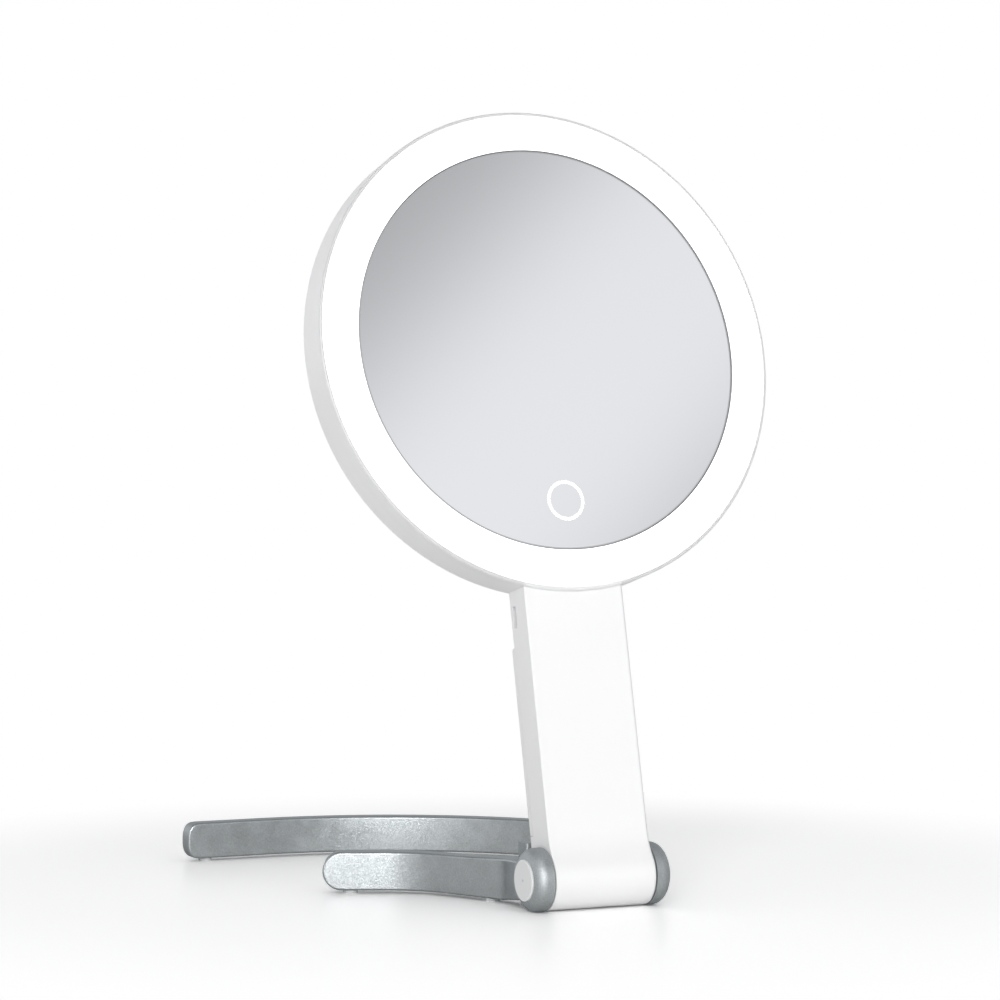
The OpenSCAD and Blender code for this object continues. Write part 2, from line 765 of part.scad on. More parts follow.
// The cap's turned shape, along z from the barrel outwards
module cap_body() {
    translate([0, 0, cap_in_x]) rotate_extrude() {
        square([cap_r, cap_l - cap_round]);
        square([cap_r - cap_round, cap_l]);
        translate([cap_r - cap_round, cap_l - cap_round]) intersection() {
            circle(r = cap_round);
            square(cap_round);
        }
    }
}

// Everything that is cut out of a cap around the axis
module cap_bores() {
    translate([0, 0, -1]) cylinder(r = shaft_end_r + slip, h = cap_out_x + 2);
    translate([0, 0, web_out_x]) cylinder(r = well_r, h = cap_l);
    translate([0, 0, cap_out_x - plug_t]) cylinder(r = plug_r + slip, h = plug_t + 1);
}

// Half of an arm's cross-section as [offset to the left, height above the middle], right to left
arm_half = [for (side = [-1, 1], k = [0:corner_steps])
    let (a = side < 0 ? 90 * k / corner_steps : 90 - 90 * k / corner_steps)
    [side * (arm_t / 2 - arm_round + arm_round * cos(a)), arm_h / 2 - arm_round + arm_round * sin(a)]];

// What is left of a rise at a distance from the hinge axis, where it ends at the length l
function rise_at(rise, l, distance) = rise * max(0, 1 - distance / l);

// A level of the arm: [x, y, heading, rise of its top, rise of its underside]
function arm_level(place, distance) = [
    place[0], place[1], place[2],
    rise_at(top_rise, top_rise_l, distance),
    rise_at(foot_rise, foot_rise_l, distance)
];

// A point of the arm at a level, shift along the heading and z above the arm's middle
function arm_point(at, off, shift, z) = [
    at[0] + shift * cos(at[2]) - off * sin(at[2]),
    at[1] + shift * sin(at[2]) + off * cos(at[2]),
    arm_z + arm_h / 2 + z + (z > 0 ? at[3] : at[4])
];

// A closed ring around the arm, whose halves are swung forwards by an angle for the round end,
// where tip holds that end's length and shape
function arm_ring(at, swing, tip) =
    let (reach = tip[0] / (arm_h / 2) * pow(sin(swing), tip[1]), rise = pow(cos(swing), tip[1])) [
        for (p = arm_half) arm_point(at, p[0], p[1] * reach, p[1] * rise),
        for (i = [len(arm_half) - 1:-1:0])
            arm_point(at, arm_half[i][0], arm_half[i][1] * reach, -arm_half[i][1] * rise)
    ];

function piece_length(p) = p[1] == 0 ? p[0] : p[0] * abs(p[1]) * PI / 180;
function run_length(run, n) = n == 0 ? root_l : run_length(run, n - 1) + piece_length(run[n - 1]);

// The first share of one piece of a run
function part_of(p, share) = p[1] == 0 ? [p[0] * share, 0] : [p[0], p[1] * share];
function step_count(p) = ceil(p[1] == 0 ? p[0] / straight_step : abs(p[1]) / bend_step);

// An arm's run as one solid from the hinge axis to its round end
module arm_run(run, start, tip) {
    level = [
        arm_level([start[0], start[1] - root_l, start[2]], 0),
        arm_level(start, root_l),
        for (i = [0:len(run) - 1]) let (n = step_count(run[i])) for (k = [1:n])
            arm_level(joined(run_end(run, i, start), piece_end(part_of(run[i], k / n))),
                run_length(run, i) + piece_length(run[i]) * k / n)
    ];
    rings = concat(
        [for (at = level) arm_ring(at, 0, tip)],
        [for (i = [1:tip_steps]) arm_ring(level[len(level) - 1], i * 90 / (tip_steps + 0.5), tip)]
    );
    n = 2 * len(arm_half);
    last = (len(rings) - 1) * n;
    polyhedron(
        points = [for (ring = rings, p = ring) p],
        faces = concat(
            [[for (k = [n - 1:-1:0]) k]],
            [for (j = [0:len(rings) - 2], k = [0:n - 1])
                [j * n + k, j * n + (k + 1) % n, (j + 1) * n + (k + 1) % n, (j + 1) * n + k]],
            [for (k = [0:n / 2 - 2]) [last + k, last + k + 1, last + n - 2 - k, last + n - 1 - k]]
        )
    );
}

// side is 1 for the right arm and -1 for the left one
module arm(side, run, start, tip) {
    difference() {
        union() {
            on_hinge() mirror([0, 0, side > 0 ? 0 : 1]) cap_body();
            translate([0, hinge_y, 0]) arm_run(run, start, tip);
        }
        on_hinge() cylinder(r = barrel_room, h = 2 * cap_in_x, center = true);
        on_hinge() mirror([0, 0, side > 0 ? 0 : 1]) cap_bores();
        translate([0, hinge_y, axle_h]) rotate([90 - lean_max, 0, 0])
            box([-cap_in_x, cap_in_x], [0, 2 * cap_d], [-handle_room, cap_d]);
        bridge_room(side);
        for (p = pad_places) pad_recess(p);
    }
}

// Space in an arm's foot for the bridge's tab and its screw
module bridge_room(side) {
    translate([0, hinge_y, 0]) {
        box([side > 0 ? 0 : -tab_x - seat_gap, side > 0 ? tab_x + seat_gap : 0],
            [bridge_y0 - seat_gap, bridge_y1 + seat_gap], [arm_z - 1, arm_z + tab_t]);
        translate([side * tab_screw[0], tab_screw[1], 0])
            cylinder(r = screw_r + slip, h = arm_z + tab_t + bridge_screw_l, $fn = 32);
    }
}

module pad_recess(p) {
    translate([p[0], hinge_y + p[1], -1]) cylinder(r = pad_r + slip, h = pad_t + 1, $fn = 48);
}

module left_arm() {
    color(silver_paint) arm(-1, short_run, short_start, [short_tip, 1]);
}

module right_arm() {
    color(silver_paint) arm(1, long_run, long_start, [long_tip, long_tip_shape]);
}

// Bar behind the barrel that ties the arms together and stops the handle's lean
module stand_bridge() {
    soft = 0.8;
    color(silver_paint) difference() {
        translate([0, hinge_y + bridge_y0, 0]) union() {
            box([-bridge_x, bridge_x], [0, bridge_d], [tab_z, ear_z]);
            translate([0, bridge_d / 2, ear_z]) linear_extrude(bridge_h - ear_z)
                round_rect([2 * (bridge_x + bridge_ear), bridge_d], soft);
            box([-tab_x, tab_x], [0, bridge_d], [tab_z, arm_z + tab_t]);
        }
        for (s = [-1, 1]) translate([s * tab_screw[0], hinge_y + tab_screw[1], 0]) {
            translate([0, 0, -1]) cylinder(r = screw_r + 0.2, h = arm_z + tab_t + 2, $fn = 32);
            translate([0, 0, -1]) cylinder(r = screw_head_r + 0.1, h = tab_seat_z + 1, $fn = 48);
        }
    }
}

module bridge_screws() {
    color(steel) for (s = [-1, 1])
        translate([s * tab_screw[0], hinge_y + tab_screw[1], tab_seat_z])
            mirror([0, 0, 1]) small_screw(bridge_screw_l);
}

module foot_pads() {
    color([0.75, 0.76, 0.76]) for (p = pad_places)
        translate([p[0], hinge_y + p[1], 0]) cylinder(r = pad_r, h = pad_t, $fn = 48);
}

main_housing();
head_rear_cover();
diffuser_ring();
mirror_glass();
touch_ring();
glass_tape();
mirror_carrier();
carrier_screws();
light_board();
leds();
reflector_band();
touch_sensor();
handle_rear_cover();
rear_cover_screws();
battery();
battery_tape();
driver_board();
board_chips();
board_screws();
charging_port();
port_tongue();
led_wires();
touch_wire();
battery_wires();
hinge_bushes();
hinge_shaft();
friction_washers();
spring_washers();
hinge_screws();
cap_plugs();
left_arm();
right_arm();
stand_bridge();
bridge_screws();
foot_pads();
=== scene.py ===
"""Looks of a lighted hand mirror on its folding stand, in metres, in the part's own frame.

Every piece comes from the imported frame. This script adds materials, smooth shading, floor, light and camera.
"""
import json
import math

import bpy
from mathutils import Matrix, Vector


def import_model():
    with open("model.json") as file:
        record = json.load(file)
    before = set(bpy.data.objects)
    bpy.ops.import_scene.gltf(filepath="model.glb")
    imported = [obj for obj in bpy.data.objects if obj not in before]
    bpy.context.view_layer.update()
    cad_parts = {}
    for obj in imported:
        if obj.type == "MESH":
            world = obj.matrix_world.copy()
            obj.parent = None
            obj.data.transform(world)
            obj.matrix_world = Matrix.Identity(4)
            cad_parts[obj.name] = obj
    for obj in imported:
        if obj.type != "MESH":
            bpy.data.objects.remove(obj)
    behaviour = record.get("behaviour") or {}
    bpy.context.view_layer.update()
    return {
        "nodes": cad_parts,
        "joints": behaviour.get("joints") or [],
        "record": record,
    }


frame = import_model()
nodes = frame["nodes"]

# The mirror's own directions, as it stands at rest
LEAN = math.radians(13)
FACING = Vector((0, -math.cos(LEAN), math.sin(LEAN)))
UP_HANDLE = Vector((0, math.sin(LEAN), math.cos(LEAN)))
ALONG_HINGE = Vector((1, 0, 0))

HINGE = Vector(frame["joints"][0]["pos_m"])
HEAD_REACH = 0.1806
HEAD = HINGE + HEAD_REACH * UP_HANDLE
HANDLE_HALF_WIDTH = 0.0185

# Radii around the head's middle, from the glass outwards
GLASS_EDGE = 0.0701
RING_WALL = 0.07095
RING_DIM = 0.0822
LIP_INNER = 0.0836
LIP_MIDDLE = 0.0845
LIP_OUTER = 0.0851

# Radii around the hinge: the mould's gate in the plug's middle, and the plug's edge in the cap
GATE = 0.0003
PLUG_EDGE = 0.0108

# Most values of a noise texture lie in this span.
NOISE_LOW, NOISE_HIGH = 0.3, 0.7

# Brightness of the studio that shiny surfaces see: its walls, its ceiling, and the band that is added
STUDIO = 0.48
CEILING = 0.25
BAND = 0.4
BAND_WIDTH = 0.065
# The band crosses the sky in front of the mirror, at right angles to this direction.
BAND_NORMAL = (0.6728, -0.0098, -0.7395)
STUDIO_TINT = (0.992, 0.998, 1.02)
DIFFUSE_SKY = 0.55

# The floor around the object, and the distances between which it fades to white
FLOOR_COLOR = 1.4
FLOOR_GLOW = 0.01
FLOOR_GLOSS = 0.25
FLOOR_ROUGHNESS = 0.34
FLOOR_NEAR, FLOOR_FAR = 0.15, 0.3

# Where the lamps point, and the directions that they come from
LAMP_AIM = Vector((0, -0.03, 0.1))
KEY_SIDE = (-0.583, -0.812, 0.3)
SHEEN_SIDE = (-0.5, -0.866, 0.12)
FILL_SIDE = (0.35, -0.9, 0.0)
ALL_BOUNCES = 1024

# The photograph's camera, in metres and degrees, with its focal length and width in pixels
CAMERA_PLACE = (-0.4452, -0.95949, 0.14327)
CAMERA_YAW = 25.1136
CAMERA_PITCH = -0.4068
FOCAL_PX = 2944.78
PHOTO_PX = 1000
SENSOR_MM = 36

WHITE = (1, 1, 1, 1)
WELD_DISTANCE = 0.000002
SMOOTH_BELOW = math.radians(32)


class Nodes:
    """A shader tree, and short ways to add linked nodes to it."""

    def __init__(self, owner):
        owner.use_nodes = True
        self.tree = owner.node_tree

    def put(self, value, socket):
        """Links a node's output to a socket, or writes a plain value there."""
        if isinstance(value, bpy.types.NodeSocket):
            self.tree.links.new(value, socket)
        else:
            socket.default_value = value

    def node(self, kind, inputs=(), **settings):
        """A new node, with its settings and its inputs by index or name."""
        made = self.tree.nodes.new("ShaderNode" + kind)
        for name, value in settings.items():
            setattr(made, name, value)
        for socket, value in dict(inputs).items():
            self.put(value, made.inputs[socket])
        return made

    def math(self, operation, a, b=0.0):
        """The result of a calculation with two numbers, or with the first alone."""
        return self.node("Math", {0: a, 1: b}, operation=operation).outputs[0]

    def vector(self, operation, a, b=(0, 0, 0), output="Vector"):
        """The result of a calculation with two vectors, or with the first alone."""
        return self.node("VectorMath", {0: a, 1: b}, operation=operation).outputs[output]

    def span(self, value, low, high, out_low, out_high, ease="LINEAR"):
        """The value mapped from one span to another, and held inside it."""
        inputs = {0: value, 1: low, 2: high, 3: out_low, 4: out_high}
        return self.node("MapRange", inputs, interpolation_type=ease).outputs[0]

    def choose(self, factor, a, b):
        """Shader a where the factor is 0 and b where it is 1."""
        return self.node("MixShader", {0: factor, 1: a, 2: b}).outputs[0]


class Look(Nodes):
    """A procedural material: one Principled shader and the nodes that feed it."""

    def __init__(self, name, color, roughness, metallic=0.0, **sockets):
        self.mat = bpy.data.materials.new(name)
        super().__init__(self.mat)
        self.shader = self.tree.nodes["Principled BSDF"]
        self.color = (*color, 1)
        self.shader.inputs["Base Color"].default_value = self.color
        self.shader.inputs["Roughness"].default_value = roughness
        self.shader.inputs["Metallic"].default_value = metallic
        for socket, value in sockets.items():
            self.shader.inputs[socket.replace("_", " ")].default_value = value
        self.place = self.node("TexCoord").outputs["Object"]

    def noise(self, size, detail=2.0, place=None):
        """Noise whose lumps are about size metres across, from 0 to 1 around 0.5."""
        inputs = {"Vector": place or self.place, "Scale": 1 / size, "Detail": detail}
        return self.node("TexNoise", inputs).outputs["Fac"]

    def cells(self, size, feature="F1", output="Distance"):
        """Cells about size metres across."""
        inputs = {"Vector": self.place, "Scale": 1 / size}
        return self.node("TexVoronoi", inputs, feature=feature).outputs[output]

    def stretched(self, x, y, z):
        """The place with each axis scaled, to draw a texture out."""
        return self.vector("MULTIPLY", self.place, (x, y, z))

    def spread(self, noise, out_low=0.0, out_high=1.0):
        """A noise's usual span mapped to another."""
        return self.span(noise, NOISE_LOW, NOISE_HIGH, out_low, out_high)

    def mix(self, factor, a, b):
        """Colour a where the factor is 0 and b where it is 1."""
        first, second = (c if isinstance(c, bpy.types.NodeSocket) else (*c[:3], 1) for c in (a, b))
        return self.node("Mix", {0: factor, 6: first, 7: second}, data_type="RGBA").outputs[2]

    def feed(self, socket, value):
        """Links a value to the shader's own socket."""
        self.tree.links.new(value, self.shader.inputs[socket])

    def shade(self, factor, dark, light):
        """Feeds the colour, darkened and lightened by a factor from 0 to 1."""
        darker = [c * dark for c in self.color]
        lighter = [c * light for c in self.color]
        self.feed("Base Color", self.mix(factor, darker, lighter))

    def bump(self, height, depth, normal=None):
        """Feeds the normal with a height from 0 to 1, depth metres deep."""
        inputs = {"Height": height, "Strength": 1.0, "Distance": depth}
        if normal:
            inputs["Normal"] = normal
        self.feed("Normal", self.node("Bump", inputs).outputs[0])

    def radius(self, centre, axis):
        """Distance from the line through centre along axis."""
        off = self.vector("SUBTRACT", self.place, centre)
        along = self.vector("DOT_PRODUCT", off, axis, "Value")
        total = self.vector("LENGTH", off, output="Value")
        square = self.math("SUBTRACT", self.math("POWER", total, 2.0), self.math("POWER", along, 2.0))
        return self.math("SQRT", self.math("MAXIMUM", square, 0.0))


def white_housing():
    """Moulded white plastic with a fine spark texture and rounded edges, with painted shade where its rim
    beside the ring and the handle's right edge face the front.
    """
    look = Look("white_housing", (0.93, 0.93, 0.935), 0.36, Coat_Weight=0.0)
    look.feed("Roughness", look.spread(look.noise(0.012, 3), 0.33, 0.41))
    # Painted shade: a grey stands in for the shade on the rim just outside the ring and on the handle's right
    # edge
    radius = look.radius(HEAD, FACING)
    past_ring = look.span(radius, LIP_INNER, LIP_INNER + 0.0003, 0, 1)
    inside_wall = look.span(radius, LIP_OUTER, LIP_OUTER + 0.0002, 1, 0)
    handle_top = look.radius(HEAD - LIP_MIDDLE * UP_HANDLE, FACING)
    off_handle = look.span(handle_top, HANDLE_HALF_WIDTH - 0.001, HANDLE_HALF_WIDTH + 0.001, 0.35, 1)
    painted_lip_shade = look.math("MULTIPLY", look.math("MULTIPLY", past_ring, inside_wall), off_handle)
    across = look.node("SeparateXYZ", {0: look.place}).outputs["X"]
    painted_edge_shade = look.span(across, HANDLE_HALF_WIDTH - 0.0007, HANDLE_HALF_WIDTH - 0.0002, 0, 1)
    surface = look.node("NewGeometry").outputs["Normal"]
    front = look.span(look.vector("DOT_PRODUCT", surface, FACING, "Value"), 0.2, 0.6, 0, 1)
    # Painted shade mask: the rim and the right edge, only where their surface faces the front
    darker = look.math("MULTIPLY", front, look.math("MAXIMUM", painted_lip_shade, painted_edge_shade))
    tone = look.mix(look.spread(look.noise(0.05, 2)), (0.92, 0.92, 0.925), look.color)
    look.feed("Base Color", look.mix(darker, tone, (0.7, 0.7, 0.705)))
    rounded = look.node("Bevel", {"Radius": 0.0006}, samples=6).outputs[0]
    look.bump(look.noise(0.0007, 2), 0.000006, rounded)
    return look


def opal_diffuser():
    """Opal plastic that glows, less at its outer edge and not on its inner wall, whose grey is painted shade.
    """
    look = Look("opal_diffuser", (0.99, 0.99, 0.98), 0.42, Emission_Color=WHITE)
    radius = look.radius(HEAD, FACING)
    # Painted shade: the ring's inner wall beside the glass is coloured grey
    wall = look.span(radius, RING_WALL, RING_WALL + 0.00015, 1.0, 0.0)
    glow = look.span(radius, RING_DIM, LIP_INNER, 1.0, 0.25)
    look.feed("Base Color", look.mix(wall, look.color, (0.55, 0.56, 0.57)))
    look.feed("Emission Strength", look.math("MULTIPLY", glow, look.math("SUBTRACT", 1.0, wall)))
    look.bump(look.noise(0.0009, 2), 0.000004)
    return look


def mirror_glass():
    """Silvered glass with a darker line where the silver ends at its edge."""
    look = Look("mirror_glass", (0.9, 0.905, 0.915), 0.012, 1.0)
    edge = look.span(look.radius(HEAD, FACING), GLASS_EDGE, GLASS_EDGE + 0.0003, 0.0, 1.0)
    haze = look.span(look.noise(0.02, 4), 0.35, 0.75, 0.0, 0.03)
    look.feed("Base Color", look.mix(edge, look.color, (0.7, 0.71, 0.72)))
    look.feed("Roughness", look.math("MAXIMUM", look.span(edge, 0, 1, 0.01, 0.3), haze))
    return look


def touch_mark():
    """White print with a faint painted glow."""
    # Painted glow: a faint emission that lights the print itself
    look = Look("touch_mark", (0.97, 0.97, 0.97), 0.5, Emission_Color=WHITE, Emission_Strength=0.25)
    look.shade(look.noise(0.001, 2), 0.97, 1.0)
    look.bump(look.noise(0.0004, 2), 0.000001)
    return look


def foam_tape():
    """Closed foam, whose cut cells show."""
    look = Look("foam_tape", (0.25, 0.25, 0.27), 0.85)
    cells = look.cells(0.0006)
    look.shade(look.span(cells, 0.0, 0.6, 0, 1), 0.7, 1.1)
    look.bump(cells, 0.00008)
    return look


def inner_plastic():
    """Plain white moulding with flow marks, not polished."""
    look = Look("inner_plastic", (0.88, 0.88, 0.87), 0.55)
    look.shade(look.noise(0.006, 4, look.stretched(1, 3, 0.4)), 0.95, 1.02)
    look.bump(look.noise(0.0005, 3), 0.00001)
    return look


def steel(name, color, roughness, size):
    """Turned or rolled steel with fine tool marks about size metres wide."""
    look = Look(name, color, roughness, 1.0)
    marks = look.noise(size, 4, look.stretched(6, 0.6, 0.6))
    look.feed("Roughness", look.spread(marks, roughness - 0.08, roughness + 0.1))
    look.shade(marks, 0.88, 1.05)
    look.bump(marks, 0.000008)
    return look


def screw_steel():
    """Steel of the screws, the spring washers and the shaft."""
    return steel("screw_steel", (0.62, 0.63, 0.65), 0.34, 0.0006)


def port_shell():
    """Brighter, finer steel of the charging port's shell."""
    return steel("port_shell", (0.82, 0.83, 0.85), 0.24, 0.0003)


def port_tongue():
    """Plastic tongue with a row of gilt contacts."""
    look = Look("port_tongue", (0.85, 0.85, 0.85), 0.4)
    waves = look.node("TexWave", {"Vector": look.place, "Scale": 320.0}, bands_direction="Z")
    contacts = waves.outputs["Fac"]
    look.feed("Base Color", look.mix(look.span(contacts, 0.6, 0.7, 0, 1), look.color, (0.75, 0.6, 0.3)))
    look.bump(contacts, 0.00003)
    return look


def board(name, color, track_color, track_size):
    """Circuit board whose tracks show through its lacquer."""
    look = Look(name, color, 0.38)
    squares = look.vector("SNAP", look.place, (track_size, track_size, track_size))
    chance = look.node("TexWhiteNoise", {"Vector": squares}).outputs["Value"]
    edges = look.cells(track_size * 2.4, "DISTANCE_TO_EDGE")
    tracks = look.math("MULTIPLY", look.span(edges, 0.04, 0.07, 1, 0), look.span(chance, 0.2, 0.25, 0, 1))
    look.feed("Base Color", look.mix(tracks, look.color, track_color))
    look.feed("Roughness", look.spread(look.noise(0.003), 0.3, 0.46))
    look.bump(tracks, 0.00002)
    return look


def white_board():
    """White board of the lamps."""
    return board("white_board", (0.94, 0.94, 0.91), (0.86, 0.84, 0.76), 0.0012)


def green_board():
    """Green board of the driver and the touch sensor."""
    return board("green_board", (0.08, 0.32, 0.17), (0.16, 0.46, 0.24), 0.0007)


def lamp():
    """Phosphor under clear resin, glowing softly."""
    glow = {"Emission_Color": (1, 0.97, 0.88, 1), "Emission_Strength": 1.2}
    look = Look("lamp", (0.98, 0.93, 0.6), 0.2, Coat_Weight=0.6, **glow)
    look.shade(look.noise(0.0005, 3), 0.9, 1.05)
    look.bump(look.noise(0.0004), 0.00002)
    return look


def chip():
    """Black moulded resin."""
    look = Look("chip", (0.06, 0.06, 0.07), 0.5)
    look.shade(look.noise(0.0003, 4), 0.7, 1.5)
    look.bump(look.noise(0.0002, 2), 0.00001)
    return look


def battery_wrap():
    """Shrunk film with faint creases."""
    look = Look("battery_wrap", (0.3, 0.42, 0.72), 0.3, Coat_Weight=0.3)
    creases = look.noise(0.004, 5, look.stretched(0.5, 2, 2))
    look.shade(creases, 0.85, 1.1)
    look.feed("Roughness", look.spread(creases, 0.22, 0.42))
    look.bump(creases, 0.00008)
    return look


def cable_skin(name, color):
    """Soft extruded skin of a wire."""
    look = Look(name, color, 0.38)
    look.shade(look.noise(0.0015, 3), 0.85, 1.1)
    look.bump(look.noise(0.0004, 2), 0.00001)
    return look


def wire_red():
    """Wires to the light board."""
    return cable_skin("wire_red", (0.7, 0.08, 0.06))


def wire_white():
    """Wire to the touch sensor."""
    return cable_skin("wire_white", (0.88, 0.88, 0.87))


def wire_black():
    """Wires to the battery."""
    return cable_skin("wire_black", (0.05, 0.05, 0.05))


def bush_plastic():
    """Dark, slippery bearing plastic."""
    look = Look("bush_plastic", (0.16, 0.16, 0.17), 0.55)
    look.shade(look.noise(0.002, 3), 0.8, 1.2)
    look.bump(look.noise(0.0004, 2), 0.00001)
    return look


def friction_disc():
    """Pressed fibre."""
    look = Look("friction_disc", (0.2, 0.18, 0.15), 0.8)
    fibres = look.noise(0.0006, 4, look.stretched(1, 3, 1))
    look.shade(fibres, 0.6, 1.4)
    look.bump(fibres, 0.00003)
    return look


def pale_silver():
    """Satin pale plugs with the small mark of the mould's gate in the middle."""
    look = Look("pale_silver", (0.84, 0.845, 0.85), 0.42)
    gate = look.span(look.radius(HINGE, ALONG_HINGE), GATE, GATE + 0.0003, 1, 0)
    grain = look.noise(0.0005, 3)
    satin = look.mix(grain, (0.82, 0.825, 0.83), (0.86, 0.865, 0.87))
    look.feed("Base Color", look.mix(gate, satin, (0.6, 0.61, 0.61)))
    look.feed("Roughness", look.spread(grain, 0.34, 0.46))
    look.bump(look.math("SUBTRACT", grain, gate), 0.00001)
    return look


def silver_paint():
    """Metallic paint: each flake lies at its own small angle under a lacquer that is duller on the caps."""
    look = Look("silver_paint", (0.5, 0.53, 0.54), 0.42, 0.9, Specular_Tint=(0.4, 0.42, 0.43, 1))
    flakes = look.vector("SUBTRACT", look.cells(0.0004, "F1", "Color"), (0.5, 0.5, 0.5))
    tilt = look.node("VectorMath", {0: flakes, "Scale": 0.08}, operation="SCALE").outputs[0]
    surface = look.node("NewGeometry").outputs["Normal"]
    normal = look.vector("NORMALIZE", look.vector("ADD", surface, tilt))
    cloud = look.noise(0.006, 3)
    on_cap = look.span(look.radius(HINGE, ALONG_HINGE), PLUG_EDGE, PLUG_EDGE + 0.0022, 0.18, 0.0)
    look.feed("Roughness", look.math("ADD", look.spread(cloud, 0.36, 0.44), on_cap))
    fine = look.math("MULTIPLY", look.noise(0.0005, 2), 0.7)
    grain = look.math("ADD", fine, look.math("MULTIPLY", cloud, 0.3))
    look.shade(look.spread(grain), 0.86, 1.12)
    look.bump(look.noise(0.0011, 2), 0.00001, normal)
    return look


def pad_rubber():
    """Pale soft silicone."""
    look = Look("pad_rubber", (0.74, 0.75, 0.75), 0.6)
    look.shade(look.noise(0.001, 4), 0.94, 1.04)
    look.bump(look.noise(0.0004, 3), 0.00003)
    return look


# One look for each material slot in the record, under the slot's name
LOOKS = (
    white_housing, opal_diffuser, mirror_glass, touch_mark, foam_tape, inner_plastic, screw_steel,
    port_shell, port_tongue, white_board, green_board, lamp, chip, battery_wrap, wire_red, wire_white,
    wire_black, bush_plastic, friction_disc, pale_silver, silver_paint, pad_rubber,
)


def smooth_group():
    """Geometry nodes that join split points, drop stored normals and shade smooth below a set edge angle."""
    group = bpy.data.node_groups.new("smooth_shading", "GeometryNodeTree")
    group.interface.new_socket("Mesh", in_out="INPUT", socket_type="NodeSocketGeometry")
    group.interface.new_socket("Mesh", in_out="OUTPUT", socket_type="NodeSocketGeometry")
    add, link = group.nodes.new, group.links.new
    weld = add("GeometryNodeMergeByDistance")
    weld.inputs["Distance"].default_value = WELD_DISTANCE
    plain = add("GeometryNodeRemoveAttribute")
    plain.inputs["Name"].default_value = "custom_normal"
    faces = add("GeometryNodeSetShadeSmooth")
    edges = add("GeometryNodeSetShadeSmooth")
    edges.domain = "EDGE"
    soft = add("FunctionNodeCompare")
    soft.operation = "LESS_THAN"
    soft.inputs[1].default_value = SMOOTH_BELOW
    link(add("NodeGroupInput").outputs[0], weld.inputs["Geometry"])
    link(weld.outputs[0], plain.inputs["Geometry"])
    link(plain.outputs[0], faces.inputs["Geometry"])
    link(faces.outputs[0], edges.inputs["Geometry"])
    link(add("GeometryNodeInputMeshEdgeAngle").outputs[0], soft.inputs[0])
    link(soft.outputs[0], edges.inputs["Shade Smooth"])
    link(edges.outputs[0], add("NodeGroupOutput").inputs[0])
    return group


def smooth(name, group):
    """Shades a node smooth over its curves and keeps its flats flat."""
    shading = nodes[name].modifiers.new("smooth", "NODES")
    shading.node_group = group
    weighted = nodes[name].modifiers.new("weighted", "WEIGHTED_NORMAL")
    weighted.keep_sharp = True
    weighted.weight = 80


def dress():
    """Gives each CAD node the look of its material slot, and smooths the stand's curves."""
    looks = {make.__name__: make() for make in LOOKS}
    for part in frame["record"]["subparts"]:
        node_object = nodes[part["node"]]
        node_object.data.materials.clear()
        node_object.data.materials.append(looks[part["material_slot"]].mat)
    group = smooth_group()
    for name in ("left_arm", "right_arm", "stand_bridge"):
        smooth(name, group)


def world():
    """White behind the object, and for reflections a studio with a soft bright band."""
    made = bpy.data.worlds.new("studio")
    bpy.context.scene.world = made
    sky = Nodes(made)
    direction = sky.node("TexCoord").outputs["Generated"]
    path = sky.node("LightPath").outputs

    def background(strength, color=WHITE):
        return sky.node("Background", {"Strength": strength, "Color": color}).outputs[0]

    def fade(value, low, high, out_low, out_high):
        return sky.span(value, low, high, out_low, out_high, "SMOOTHSTEP")

    parts = sky.node("SeparateXYZ", {0: direction}).outputs
    front = fade(parts["Z"], 0.35, 0.9, STUDIO, CEILING)
    back = fade(parts["Z"], 0.3, 0.7, 1.0, CEILING)
    behind = fade(parts["Y"], 0.0, 0.5, 0.0, 1.0)
    room = sky.node("Mix", {0: behind, 2: front, 3: back}).outputs[0]

    across = sky.math("ABSOLUTE", sky.vector("DOT_PRODUCT", direction, BAND_NORMAL, "Value"))
    off = sky.math("DIVIDE", across, BAND_WIDTH)
    bell = sky.math("EXPONENT", sky.math("MULTIPLY", sky.math("POWER", off, 3.0), -1.0))
    in_front = fade(parts["Y"], -0.3, 0.0, 1.0, 0.0)
    band = sky.math("MULTIPLY", sky.math("MULTIPLY", bell, in_front), BAND)

    level = sky.math("ADD", room, band)
    channels = {place: sky.math("MULTIPLY", level, share) for place, share in enumerate(STUDIO_TINT)}
    tinted = sky.node("CombineColor", channels).outputs[0]
    reflected = sky.choose(path["Is Glossy Ray"], background(DIFFUSE_SKY), background(1.0, tinted))
    seen = sky.choose(path["Is Camera Ray"], reflected, background(1.0))
    sky.put(seen, sky.tree.nodes["World Output"].inputs["Surface"])


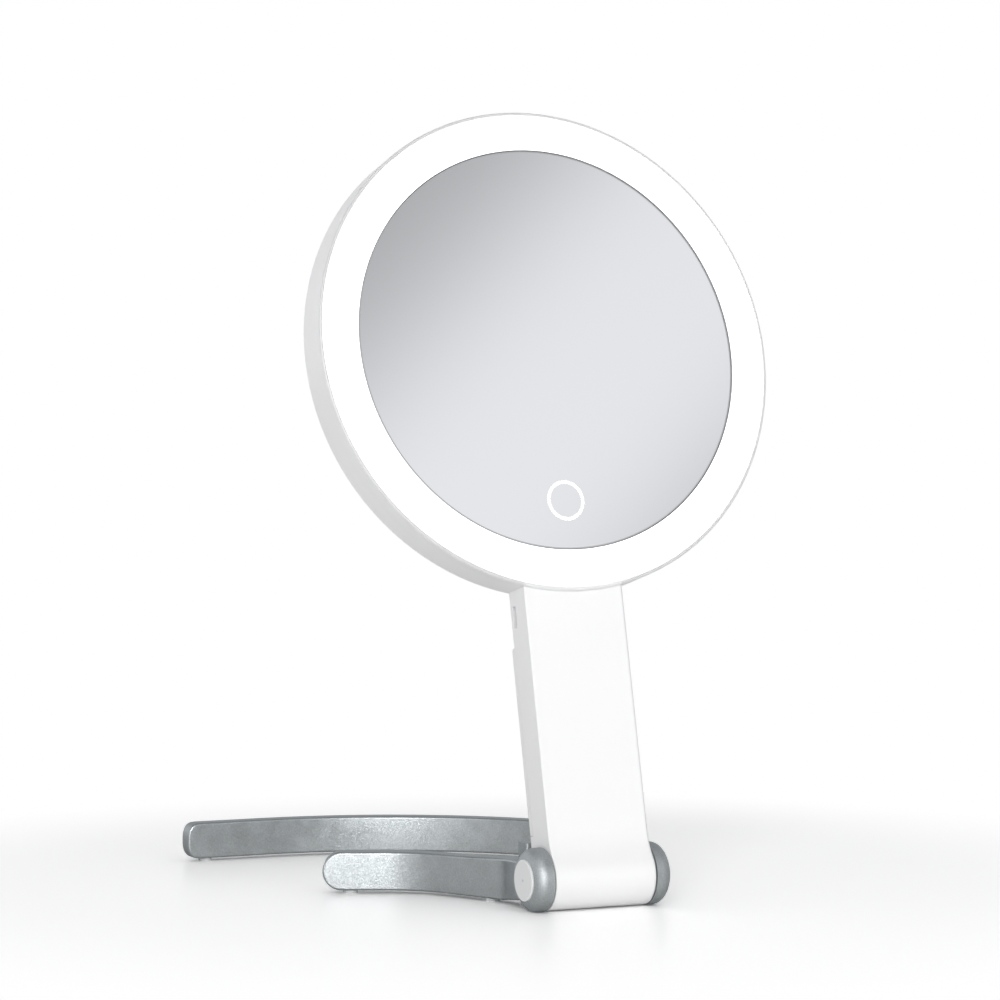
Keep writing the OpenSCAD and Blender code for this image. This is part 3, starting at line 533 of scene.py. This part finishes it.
def floor():
    """A pale floor that keeps the object's soft shadow on white."""
    bpy.ops.mesh.primitive_circle_add(vertices=96, radius=3.0, fill_type="NGON")
    plane = bpy.context.object
    plane.name = "floor"
    mat = bpy.data.materials.new("floor_white")
    plane.data.materials.append(mat)
    ground = Nodes(mat)
    ground.tree.nodes.remove(ground.tree.nodes["Principled BSDF"])
    path = ground.node("LightPath").outputs

    def diffuse(level):
        return ground.node("BsdfDiffuse", {"Color": (level, level, level, 1)}).outputs[0]

    def emission(level):
        return ground.node("Emission", {"Strength": level}).outputs[0]

    glossy = ground.node("BsdfGlossy", {"Color": WHITE, "Roughness": FLOOR_ROUGHNESS}).outputs[0]
    matte = ground.node("AddShader", {0: diffuse(FLOOR_COLOR), 1: emission(FLOOR_GLOW)}).outputs[0]
    near = ground.choose(FLOOR_GLOSS, matte, glossy)
    place = ground.node("TexCoord").outputs["Object"]
    distance = ground.vector("LENGTH", place, output="Value")
    far = ground.span(distance, FLOOR_NEAR, FLOOR_FAR, 0.0, 1.0, "SMOOTHSTEP")
    seen = ground.choose(far, near, emission(1.0))
    reflected = ground.choose(path["Is Glossy Ray"], diffuse(0.95), diffuse(0.65))
    final = ground.choose(path["Is Camera Ray"], reflected, seen)
    ground.put(final, ground.tree.nodes["Material Output"].inputs["Surface"])


def soft_box(name, side, distance, width, height, power, diffuse=True, glossy=True, bounces=ALL_BOUNCES):
    """A rectangular lamp on one side of the object, which lights matt surfaces, shiny ones or both."""
    lamp_data = bpy.data.lights.new(name, "AREA")
    lamp_data.shape = "RECTANGLE"
    lamp_data.size = width
    lamp_data.size_y = height
    lamp_data.energy = power
    lamp_data.cycles.max_bounces = bounces
    made = bpy.data.objects.new(name, lamp_data)
    bpy.context.scene.collection.objects.link(made)
    away = Vector(side).normalized()
    made.location = LAMP_AIM + away * distance
    made.rotation_euler = away.to_track_quat("Z", "Y").to_euler()
    made.visible_camera = False
    made.visible_diffuse = diffuse
    made.visible_glossy = glossy


def camera():
    """The photograph's view, seen from the left and a little above the hinge."""
    data = bpy.data.cameras.new("camera")
    data.sensor_fit = "HORIZONTAL"
    data.sensor_width = SENSOR_MM
    data.lens = SENSOR_MM * FOCAL_PX / PHOTO_PX
    data.clip_start = 0.05
    made = bpy.data.objects.new("camera", data)
    bpy.context.scene.collection.objects.link(made)
    yaw, pitch = math.radians(CAMERA_YAW), math.radians(CAMERA_PITCH)
    forward = Vector((math.sin(yaw) * math.cos(pitch), math.cos(yaw) * math.cos(pitch), math.sin(pitch)))
    made.location = CAMERA_PLACE
    made.rotation_euler = forward.to_track_quat("-Z", "Y").to_euler()
    bpy.context.scene.camera = made


dress()
world()
floor()
camera()
soft_box("key", KEY_SIDE, 1.6, 0.5, 1.2, 8.6, glossy=False)
soft_box("shine", KEY_SIDE, 1.6, 0.5, 1.2, 11, diffuse=False, bounces=0)
soft_box("sheen", SHEEN_SIDE, 1.6, 0.3, 1.4, 17.5, diffuse=False, bounces=0)
soft_box("fill", FILL_SIDE, 1.8, 1.2, 0.8, 10.8, glossy=False)
bpy.context.scene.view_settings.view_transform = "Standard"
